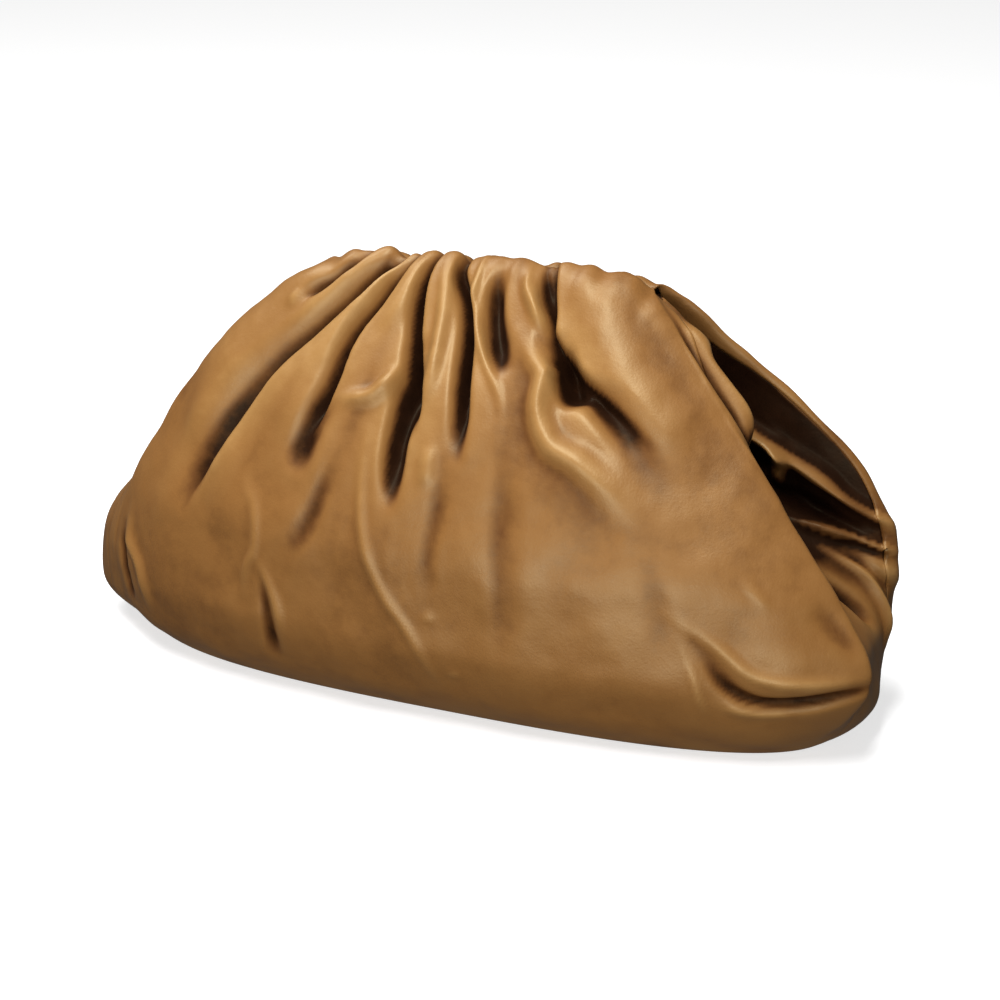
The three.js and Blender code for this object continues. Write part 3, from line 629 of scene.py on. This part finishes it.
def arc(hand, across, up):
    """The length of an end's leather from its front ridge to a place."""
    a = np.clip((across + 1) / 2, 0, 1) * (len(ARC_ACROSS) - 1)
    u = np.clip(up / HEM_END, 0, 1) * (len(ARC_UP) - 1)
    column = np.minimum(a.astype(int), len(ARC_ACROSS) - 2)
    row = np.minimum(u.astype(int), len(ARC_UP) - 2)
    right, above = a - column, u - row
    grid = ARCS[hand]
    low = grid[row, column] * (1 - right) + grid[row, column + 1] * right
    high = grid[row + 1, column] * (1 - right) + grid[row + 1, column + 1] * right
    return low * (1 - above) + high * above


def end_relief(hand, across, up):
    """The height of the folds and small waves at places of an end."""
    across, up = np.broadcast_arrays(across, up)

    def place(a, u):
        return arc(hand, a, u), u * WALL_LENGTH

    x, u = place(across, up)
    out, _ = relief(END_FOLDS[hand], place, x, u)
    room = np.minimum(1, end_width(up) / END_ROOM) ** 2
    calm = ease((1 - np.abs(across)) / END_CALM)
    small = waves(x, u, WAVE_SEEDS["end"] + hand)
    return (out * calm + small) * strength(up) * room


RIDGE_FADE = 7  # millimetres past a ridge over which a face's folds run out


def face_grid(side, ups, columns, turned):
    """A face with its two turned edges: its places, relief, slide, distance to an edge and waves."""
    up = ups[:, None]
    reach = {hand: face_reach(side, hand, up) for hand in (-1, 1)}
    spans = {hand: end_span(hand, side, up) for hand in (-1, 1)}
    past = {hand: np.minimum(SEAM_RETURN, spans[hand] / 2) for hand in (-1, 1)}
    inner = np.linspace(-1, 1, columns + 1)[None, :]
    shares = np.linspace(0, 1, turned + 1)[1:][None, :]
    face = face_point(side, inner + 0 * up, up + 0 * inner)
    rows = [face]
    xs = [inner * np.where(inner > 0, reach[1], reach[-1])]
    extra = [np.zeros_like(xs[0])]
    for hand in (-1, 1):
        distance = past[hand] * shares
        across = side * (1 - distance / spans[hand])
        part = end_point(hand, across, up + 0 * shares)
        out = end_relief(hand, across, up + 0 * shares)
        x = hand * (reach[hand] + distance)
        if hand < 0:
            rows.insert(0, part[:, ::-1])
            xs.insert(0, x[:, ::-1])
            extra.insert(0, out[:, ::-1])
        else:
            rows.append(part)
            xs.append(x)
            extra.append(out)
    base = np.concatenate(rows, 1)
    x = np.concatenate(xs, 1)
    extra = np.concatenate(extra, 1)
    u = np.broadcast_to(up, x.shape) * WALL_LENGTH

    def place(a, v):
        return a * face_reach(side, a, v), v * WALL_LENGTH

    out, slide = relief(FACE_FOLDS[side], place, x, u)
    beyond = np.maximum(np.abs(x) - np.where(x > 0, reach[1], reach[-1]), 0)
    fade = 1 - ease(beyond / RIDGE_FADE)
    small = waves(x, u, WAVE_SEEDS["face"] + side) * fade
    out = (out * fade + small) * strength(up) + extra
    edge = np.minimum(x - x[:, :1], x[:, -1:] - x)
    return base, out, slide * fade * strength(up), edge, small


def even_places(hand, limit, up, columns):
    """Places across an end between two limits, evenly spaced along its leather."""
    places = limit[-1] + (limit[1] - limit[-1]) * np.linspace(0, 1, len(ARC_ACROSS))[None, :]
    lengths = arc(hand, places, up + 0 * places)
    shares = np.linspace(0, 1, columns + 1)
    return np.stack([
        np.interp(length[0] + (length[-1] - length[0]) * shares, length, place)
        for length, place in zip(lengths, places)
    ])


def end_grid(hand, ups, columns):
    """Places, relief, the distance to a seam and the places across, over an end."""
    up = ups[:, None]
    spans = {side: end_span(hand, side, up) for side in (-1, 1)}
    limit = {
        side: side * (1 - (np.minimum(SEAM_RETURN, spans[side] / 2) + SEAM_GAP) / spans[side])
        for side in (-1, 1)
    }
    across = even_places(hand, limit, up, columns)
    base = end_point(hand, across, up + 0 * across)
    out = end_relief(hand, across, up + 0 * across)
    edge = np.minimum(across - limit[-1], limit[1] - across) * end_width(up)
    return base, out, edge, across


def soften(grid, rounds):
    """Rounds a grid of points off along its rows."""
    for _ in range(rounds):
        middle = (grid[:, :-2] + 2 * grid[:, 1:-1] + grid[:, 2:]) / 4
        grid = np.concatenate([grid[:, :1], middle, grid[:, -1:]], 1)
    return grid


def relax(grid, rounds):
    """Settles a grid of points a little along and across, leaving its edges in place."""
    for _ in range(rounds):
        around = grid[:-2, 1:-1] + grid[2:, 1:-1] + grid[1:-1, :-2] + grid[1:-1, 2:]
        middle = (around + 4 * grid[1:-1, 1:-1]) / 8
        grid = grid.copy()
        grid[1:-1, 1:-1] = middle
    return grid


SHORT = 1e-12  # keeps the length of a direction away from zero


def directions(grid, flip):
    """The outward direction at each point of a grid, and the direction along its rows."""
    along = np.gradient(grid, axis=1)
    rise = np.gradient(grid, axis=0)
    out = np.cross(along, rise)
    out /= np.linalg.norm(out, axis=-1, keepdims=True) + SHORT
    along /= np.linalg.norm(along, axis=-1, keepdims=True) + SHORT
    return (-out if flip else out), along


CORNER_ROUNDS = 4  # how often a panel's ridges are rounded off
RELAX_ROUNDS = {"face": 2, "end": 6}  # how often its folds are settled
THICK_ROUNDS = 2  # how often the direction of its thickness is settled
SLIDE = 0.6  # the share of a lap by which the leather really slides
SEAM_DIP = 0.15  # how far the leather dips at a seam, in millimetres
SEAM_DIP_WIDTH = 1.3  # and over what distance from it
PARED_UP = (0.84, 0.93)  # the share of the wall over which the leather at the corners is pared
PARED_WIDTH = 12  # how far from a seam it is pared, in millimetres
PARED_FOLDS = 0.85  # the share of the folds that is taken off there
PARED_LEATHER = 0.75  # the share of the leather's thickness that is taken off there


def skin(base, out, slide, edge, ups, flip, kind):
    """The outer and inner points of a panel's leather, pared thin at the mouth's corners."""
    corner = between(ups, *PARED_UP)[:, None] * (1 - ease(edge / PARED_WIDTH))
    out = out * (1 - PARED_FOLDS * corner)
    base = soften(base, CORNER_ROUNDS)
    outward, along = directions(base, flip)
    dip = SEAM_DIP * np.exp(-((np.maximum(edge, 0) / SEAM_DIP_WIDTH) ** 2))
    outer = base + outward * (out - dip)[..., None] - along * (SLIDE * slide[..., None])
    outer = relax(outer, RELAX_ROUNDS[kind])
    thick, _ = directions(outer, flip)
    thick = relax(thick, THICK_ROUNDS)
    thick /= np.linalg.norm(thick, axis=-1, keepdims=True)
    return outer, outer - thick * (LEATHER * (1 - PARED_LEATHER * corner))[..., None]


def blurred(values, cells):
    """Values averaged over a square of cells to each side."""
    for axis in (0, 1):
        before = np.repeat(values.take([0], axis), cells + 1, axis)
        after = np.repeat(values.take([-1], axis), cells, axis)
        padded = np.concatenate([before, values, after], axis)
        total = np.cumsum(padded, axis=axis)
        length = values.shape[axis]
        high = total.take(range(2 * cells + 1, 2 * cells + 1 + length), axis)
        low = total.take(range(length), axis)
        values = (high - low) / (2 * cells + 1)
    return values


def wall(name, outer, inner, painted_light_and_shade, flip):
    """A closed skin between the outer and inner points of a panel, smooth shaded."""
    rows, columns = outer.shape[:2]
    points = np.concatenate([outer.reshape(-1, 3), inner.reshape(-1, 3)]) * MM
    index = np.arange(rows * columns).reshape(rows, columns)
    under = index + rows * columns

    def quads(a, b, c, d):
        cells = np.stack([a, b, c, d], -1).reshape(-1, 4)
        return cells[:, ::-1] if flip else cells

    faces = np.concatenate([
        quads(index[:-1, :-1], index[:-1, 1:], index[1:, 1:], index[1:, :-1]),
        quads(under[:-1, :-1], under[1:, :-1], under[1:, 1:], under[:-1, 1:]),
        quads(index[:-1, 0], index[1:, 0], under[1:, 0], under[:-1, 0]),
        quads(index[:-1, -1], under[:-1, -1], under[1:, -1], index[1:, -1]),
        quads(index[0, :-1], under[0, :-1], under[0, 1:], index[0, 1:]),
        quads(index[-1, :-1], index[-1, 1:], under[-1, 1:], under[-1, :-1]),
    ])
    mesh = bpy.data.meshes.new(name)
    mesh.from_pydata(points.tolist(), [], faces.tolist())
    mesh.polygons.foreach_set("use_smooth", [True] * len(mesh.polygons))
    # Each point carries its painted light and shade to the material.
    painted_light_layer = mesh.attributes.new("painted_light_and_shade", "FLOAT", "POINT")
    painted_light_layer.data.foreach_set("value", np.tile(painted_light_and_shade.ravel(), 2).astype(np.float32))
    mesh.validate()
    mesh.update()
    piece = bpy.data.objects.new(name, mesh)
    bpy.context.scene.collection.objects.link(piece)
    return piece


# Painted light and shade: each place's colour is darkened in a hollow and lightened on a ridge,
# standing in for shade and highlight.
# Over how many cells a place is compared with its surroundings, and how much that counts.
TONE_SCALES = table("cells share", [(4, 0.4), (14, 0.8)])
TONE_DEPTH = 2.2  # millimetres from a fold's surroundings at which its painted shade in a hollow, and painted highlight on a ridge, are nearly full
WAVE_TONE = 0.2  # the share of the small waves that shows in the painted light and shade


def hollows(out):
    """How far each place stands out of its surroundings, from -1 in a hollow to 1 on a ridge:
    painted shade to painted highlight.
    """
    depth = sum(row["share"] * (out - blurred(out, row["cells"])) for row in TONE_SCALES)
    return np.tanh(depth / TONE_DEPTH)


# How a face's rows are shared out: each stretch of the wall, from its start, and its share of them.
LEVELS = table("start share", [(0, 0.72), (0.9, 0.2), (1.04, 0.08)])


def levels(count):
    """Shares up the wall, closer together at the mouth and over the lip."""
    ends = [row["start"] for row in LEVELS[1:]] + [HEM_END]
    return np.concatenate([
        np.linspace(row["start"], end, round(count * row["share"]), endpoint=end == HEM_END)
        for row, end in zip(LEVELS, ends)
    ])


def face_piece(name, side, rows, columns, turned):
    """The front or back leather, with its two edges turned round to the side seams."""
    ups = levels(rows)
    base, out, slide, edge, small = face_grid(side, ups, columns, turned)
    outer, inner = skin(base, out, slide, edge, ups, side > 0, "face")
    # Painted light and shade, from the folds and a little of the small waves.
    painted_light_and_shade = hollows(out - (1 - WAVE_TONE) * small)
    return wall(name, outer, inner, painted_light_and_shade, side > 0)


GUSSET_TOP = 0.95  # the gussets stop just under the lips
RECESS = 9  # a tuck this deep, in millimetres, has its darkest painted shade
RECESS_PAINTED_SHADE = {1: 2.2, -1: 0.7}  # how dark the painted shade of the right (1) and the left (-1) tuck gets
CAVITY = (0.34, 0.46)  # the share of the wall above which a tuck has painted shade
RIDGE_LIT = 7  # a ridge this high in a tuck, in millimetres, gets no painted shade
SHADE_BLUR = 6  # cells over which a tuck's painted shade is evened out


def recess(hand, across, up):
    """How deep each place of an end lies in its tuck, from 0 to 1, which sets its painted shade."""
    name = "right" if hand > 0 else "left"
    front = AT[name + "_front"](up)
    ridge = front + (AT[name + "_back"](up) - front) * (across + 1) / 2
    depth = (ridge - AT[name + "_end"](up)) * HALF_LENGTH * tuck_share(hand, across, up)
    return ease(depth / RECESS)


def end_piece(name, hand, rows, columns):
    """The leather of an end, which lies tucked in between the two faces."""
    ups = np.linspace(0, GUSSET_TOP, rows)
    base, out, edge, across = end_grid(hand, ups, columns)
    outer, inner = skin(base, out, np.zeros_like(out), edge, ups, hand < 0, "end")
    # Painted shade: the leather deep in a tuck is darkened where its cavity would lie in shade.
    painted_shade_mask = recess(hand, across, ups[:, None]) * between(ups[:, None], *CAVITY)
    painted_shade = blurred(painted_shade_mask * (1 - ease(out / RIDGE_LIT)), SHADE_BLUR)
    painted_light_and_shade = np.clip(hollows(out) - RECESS_PAINTED_SHADE[hand] * painted_shade, -1, 1)
    return wall(name, outer, inner, painted_light_and_shade, hand < 0)


BASE_STEPS = {"face": 60, "end": 20, "rings": 12}  # steps along a face and an end, and rings
BASE_EYE = 0.02  # the smallest ring, as a share of the rim


def base_piece(name):
    """The base panel: a thin flat plate inside the ring of the base seams."""
    around = []
    for side, hand in ((-1, 1), (1, -1)):
        across = np.linspace(-1, 1, BASE_STEPS["face"], endpoint=False) * hand
        around.append(face_point(side, across, np.zeros_like(across)))
        turn = np.linspace(-1, 1, BASE_STEPS["end"], endpoint=False) * hand
        around.append(end_point(hand, turn, np.zeros_like(turn)))
    rim = np.concatenate(around)
    centre = rim.mean(0)
    offset = rim - centre
    length = np.linalg.norm(offset, axis=1, keepdims=True)
    rings = np.linspace(BASE_EYE, 1, BASE_STEPS["rings"])
    grid = np.stack([centre + offset * (1 - (LEATHER + SEAM_GAP) / length) * r for r in rings])
    grid[..., 2] = 0
    grid = np.concatenate([grid, grid[:, :1]], 1)
    top = grid + [0, 0, LEATHER]
    return wall(name, top, grid, np.zeros(top.shape[:2]), True)


def linear(red, green, blue):
    """An sRGB colour from 0 to 255 as the linear colour Blender uses."""
    shares = np.array([red, green, blue]) / 255
    return (*np.where(shares > 0.04045, ((shares + 0.055) / 1.055) ** 2.4, shares / 12.92), 1)


def material(name):
    """A new material with its shader, and a function that adds and links a node."""
    made = bpy.data.materials.new(name)
    made.use_nodes = True
    tree = made.node_tree
    shader = tree.nodes["Principled BSDF"]

    def node(kind, links=(), **settings):
        new = tree.nodes.new(kind)
        for key, value in settings.items():
            if hasattr(new, key):
                setattr(new, key, value)
            else:
                new.inputs[key].default_value = value
        for socket, source in links:
            tree.links.new(source, new.inputs[socket])
        return new

    return made, tree, shader, node


def ramp(node, source, stops):
    """A colour ramp with the stops given as places and colours."""
    made = node("ShaderNodeValToRGB", [("Fac", source)])
    while len(made.color_ramp.elements) < len(stops):
        made.color_ramp.elements.new(0.5)
    for element, (place, colour) in zip(made.color_ramp.elements, stops):
        element.position = place
        element.color = colour
    return made


def spread(node, source, before, after):
    """A value that runs over the range after while its source runs over the range before."""
    made = node("ShaderNodeMapRange", [("Value", source)])
    for name, value in zip(("From Min", "From Max", "To Min", "To Max"), (*before, *after)):
        made.inputs[name].default_value = value
    return made.outputs[0]


WHOLE = (0, 1)  # the range of a noise and of a share
# The leather's noises. Each scale is in cells a metre.
NOISES = table(
    "name scale detail roughness",
    [("cloud", 9, 4, 0.5), ("fleck", 120, 4, 0.6), ("grain", 420, 3, 0.6)],
)
PORES = 900  # pores a metre
CLOUDS = (0.3, 0.7)  # how much the clouds add to the tone
FLECKS = (0.35, 0.65)  # how much the flecks add to it
PAINTED_LIGHT_RANGE = (-1, 1)  # the painted light and shade from the deepest hollow to the highest ridge
TONE_SUM = (0.8, 2.2)  # the sums of cloud, fleck and painted light and shade at the darkest and the lightest brown
BROWNS = [
    (0.0, linear(16, 7, 4)),
    (0.16, linear(36, 19, 9)),
    (0.32, linear(90, 56, 27)),
    (0.5, linear(122, 82, 40)),
    (0.7, linear(132, 92, 47)),
    (1.0, linear(156, 118, 68)),
]
LEATHER_ROUGHNESS = (0.38, 0.52)
SHINE_TONES = (-0.7, 0.2)  # the painted light and shade values between which the shine grows
SHINE = (0.06, 0.5)  # the specular level in a hollow, lowered as painted shade on the gloss, and elsewhere
SHINE_TINT = (1, 0.93, 0.62, 1)
PORE_BUMP = {"Strength": 0.12, "Distance": 0.0003}
GRAIN_BUMP = {"Strength": 0.16, "Distance": 0.0006}


def leather():
    """Soft satin nappa: cloudy brown, with painted shade in the folds and a painted highlight on the
    ridges.
    """
    made, tree, shader, node = material("leather_nappa")
    place = node("ShaderNodeTexCoord").outputs["Object"]
    noise = {
        row["name"]: node(
            "ShaderNodeTexNoise", [("Vector", place)],
            Scale=row["scale"], Detail=row["detail"], Roughness=row["roughness"],
        ).outputs["Fac"]
        for row in NOISES
    }
    # The painted light and shade: darker in hollows, lighter on ridges.
    painted_light_and_shade = node("ShaderNodeAttribute", attribute_name="painted_light_and_shade").outputs["Fac"]
    shifts = [
        spread(node, noise["cloud"], WHOLE, CLOUDS),
        spread(node, noise["fleck"], WHOLE, FLECKS),
        spread(node, painted_light_and_shade, PAINTED_LIGHT_RANGE, WHOLE),
    ]
    mixed = shifts[0]
    for shift in shifts[1:]:
        mixed = node("ShaderNodeMath", [(0, mixed), (1, shift)], operation="ADD").outputs[0]
    colours = ramp(node, spread(node, mixed, TONE_SUM, WHOLE), BROWNS)
    rough = spread(node, noise["fleck"], WHOLE, LEATHER_ROUGHNESS)
    # The gloss is lowered in hollows: painted shade on the reflection.
    shine = spread(node, painted_light_and_shade, SHINE_TONES, SHINE)
    pores = node("ShaderNodeTexVoronoi", [("Vector", place)], Scale=PORES).outputs["Distance"]
    fine = node("ShaderNodeBump", [("Height", pores)], **PORE_BUMP).outputs[0]
    bumps = node("ShaderNodeBump", [("Height", noise["grain"]), ("Normal", fine)], **GRAIN_BUMP)
    tree.links.new(colours.outputs["Color"], shader.inputs["Base Color"])
    tree.links.new(rough, shader.inputs["Roughness"])
    tree.links.new(shine, shader.inputs["Specular IOR Level"])
    tree.links.new(bumps.outputs[0], shader.inputs["Normal"])
    shader.inputs["Specular Tint"].default_value = SHINE_TINT
    return made


BRUSHING = (8, 400, 400)  # the brush marks run along the frame
STREAKS = {"Scale": 6, "Detail": 4}
GREYS = [(0.2, linear(150, 146, 138)), (0.8, linear(196, 192, 184))]
STEEL_ROUGHNESS = (0.25, 0.45)


def steel():
    """The brushed steel of the clasp frame inside the mouth."""
    made, tree, shader, node = material("frame_steel")
    place = node("ShaderNodeTexCoord").outputs["Object"]
    stretch = node("ShaderNodeMapping", [("Vector", place)], Scale=BRUSHING)
    streak = node("ShaderNodeTexNoise", [("Vector", stretch.outputs[0])], **STREAKS).outputs["Fac"]
    colours = ramp(node, streak, GREYS)
    tree.links.new(colours.outputs["Color"], shader.inputs["Base Color"])
    tree.links.new(spread(node, streak, WHOLE, STEEL_ROUGHNESS), shader.inputs["Roughness"])
    shader.inputs["Metallic"].default_value = 1
    return made


# The pieces, each in the place of its CAD solid.
brown = leather()
pieces = {
    "front_panel": face_piece("front_leather", -1, rows=180, columns=250, turned=10),
    "back_panel": face_piece("back_leather", 1, rows=160, columns=190, turned=8),
    "gusset_right": end_piece("gusset_right_leather", 1, rows=160, columns=180),
    "gusset_left": end_piece("gusset_left_leather", -1, rows=130, columns=80),
    "base_panel": base_piece("base_leather"),
}
# The flat cut of each piece of leather, in metres and square metres: its longest run across and
# up, and its area, as measured on the built leather, because leather this soft lies unstretched.
CUTS = table(
    "node width length area held rests_on",
    [
        ("front_panel", 0.432, 0.302, 0.094, "gathered", ["closure_frame"]),
        ("back_panel", 0.414, 0.294, 0.086, "gathered", ["closure_frame"]),
        ("gusset_right", 0.148, 0.278, 0.0225, "folded", ["front_leather", "back_leather"]),
        ("gusset_left", 0.106, 0.283, 0.0176, "folded", ["front_leather", "back_leather"]),
        ("base_panel", 0.325, 0.092, 0.0262, "stretched", ["front_leather", "back_leather"]),
    ],
)
for row in CUTS:
    piece = pieces[row["node"]]
    piece.data.materials.append(brown)
    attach(piece, "root")
    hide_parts(row["node"])
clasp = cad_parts["closure_frame"]
clasp.data.materials.clear()
clasp.data.materials.append(steel())

# The white floor, which fills the view.
FLOOR = 12  # metres from its middle to an edge
FLOOR_GAP = 0.0004  # metres between the bag's base and the floor
FLOOR_LOOK = {
    "Base Color": (0.6, 0.6, 0.6, 1),
    "Emission Color": (1, 1, 1, 1),
    "Emission Strength": 0.68,
    "Roughness": 0.9,
    "Specular IOR Level": 0.1,
}
corners = [(-FLOOR, -FLOOR, 0), (FLOOR, -FLOOR, 0), (FLOOR, FLOOR, 0), (-FLOOR, FLOOR, 0)]
floor_mesh = bpy.data.meshes.new("floor")
floor_mesh.from_pydata(corners, [], [(0, 1, 2, 3)])
floor = bpy.data.objects.new("floor", floor_mesh)
bpy.context.scene.collection.objects.link(floor)
floor.location.z = -FLOOR_GAP
paper, _, paper_shader, _ = material("floor_paper")
for socket, value in FLOOR_LOOK.items():
    paper_shader.inputs[socket].default_value = value
floor_mesh.materials.append(paper)
floor.visible_diffuse = False
floor.visible_glossy = False

# Soft studio light: panels at the top left and above the front, weaker ones in front and low
# down, and a pale room. Places and sizes are in metres, powers in watts.
LIGHTS = table(
    "name place aim wide high power",
    [
        ("top_left", (-0.75, 0.0, 1.4), (0, 0, 0.1), 0.7, 0.7, 15.5),
        ("crown", (0.12, -0.6, 1.42), (0, 0, 0.1), 0.4, 1.0, 28),
        ("front", (0.25, -2.2, 0.25), (0, 0, 0.1), 1.1, 0.6, 15),
        ("low", (0.3, -1.3, 0.06), (0, 0, 0.03), 1.2, 0.1, 8),
    ],
)
for row in LIGHTS:
    lamp = bpy.data.lights.new(row["name"], "AREA")
    lamp.shape = "RECTANGLE"
    lamp.size = row["wide"]
    lamp.size_y = row["high"]
    lamp.energy = row["power"]
    holder = bpy.data.objects.new(row["name"], lamp)
    holder.location = row["place"]
    direction = Vector(row["aim"]) - Vector(row["place"])
    holder.rotation_euler = direction.to_track_quat("-Z", "Y").to_euler()
    bpy.context.scene.collection.objects.link(holder)
ROOM_COLOUR = (1, 0.99, 0.97, 1)
ROOM_STRENGTH = 0.12
world = bpy.data.worlds.new("room")
world.use_nodes = True
room = world.node_tree.nodes["Background"]
room.inputs["Color"].default_value = ROOM_COLOUR
room.inputs["Strength"].default_value = ROOM_STRENGTH
bpy.context.scene.world = world
bpy.context.scene.view_settings.view_transform = "Standard"

# The camera, as the photograph was taken. Its distance and target are in metres, its sensor and
# lens in millimetres, and its shift in widths of the picture.
AZIMUTH = math.radians(25.6)
ELEVATION = math.radians(18.9)
DISTANCE = 1.387
TARGET = (0, 0, 0.1)
SENSOR = 36
LENS = 108
SHIFT = (0.0057, -0.031)
camera = bpy.data.objects.new("camera", bpy.data.cameras.new("camera"))
camera.data.sensor_width = SENSOR
camera.data.lens = LENS
camera.data.shift_x, camera.data.shift_y = SHIFT
camera.location = (
    TARGET[0] + DISTANCE * math.cos(ELEVATION) * math.sin(AZIMUTH),
    TARGET[1] - DISTANCE * math.cos(ELEVATION) * math.cos(AZIMUTH),
    TARGET[2] + DISTANCE * math.sin(ELEVATION),
)
camera.rotation_euler = (math.pi / 2 - ELEVATION, 0, AZIMUTH)
bpy.context.scene.collection.objects.link(camera)
bpy.context.scene.camera = camera
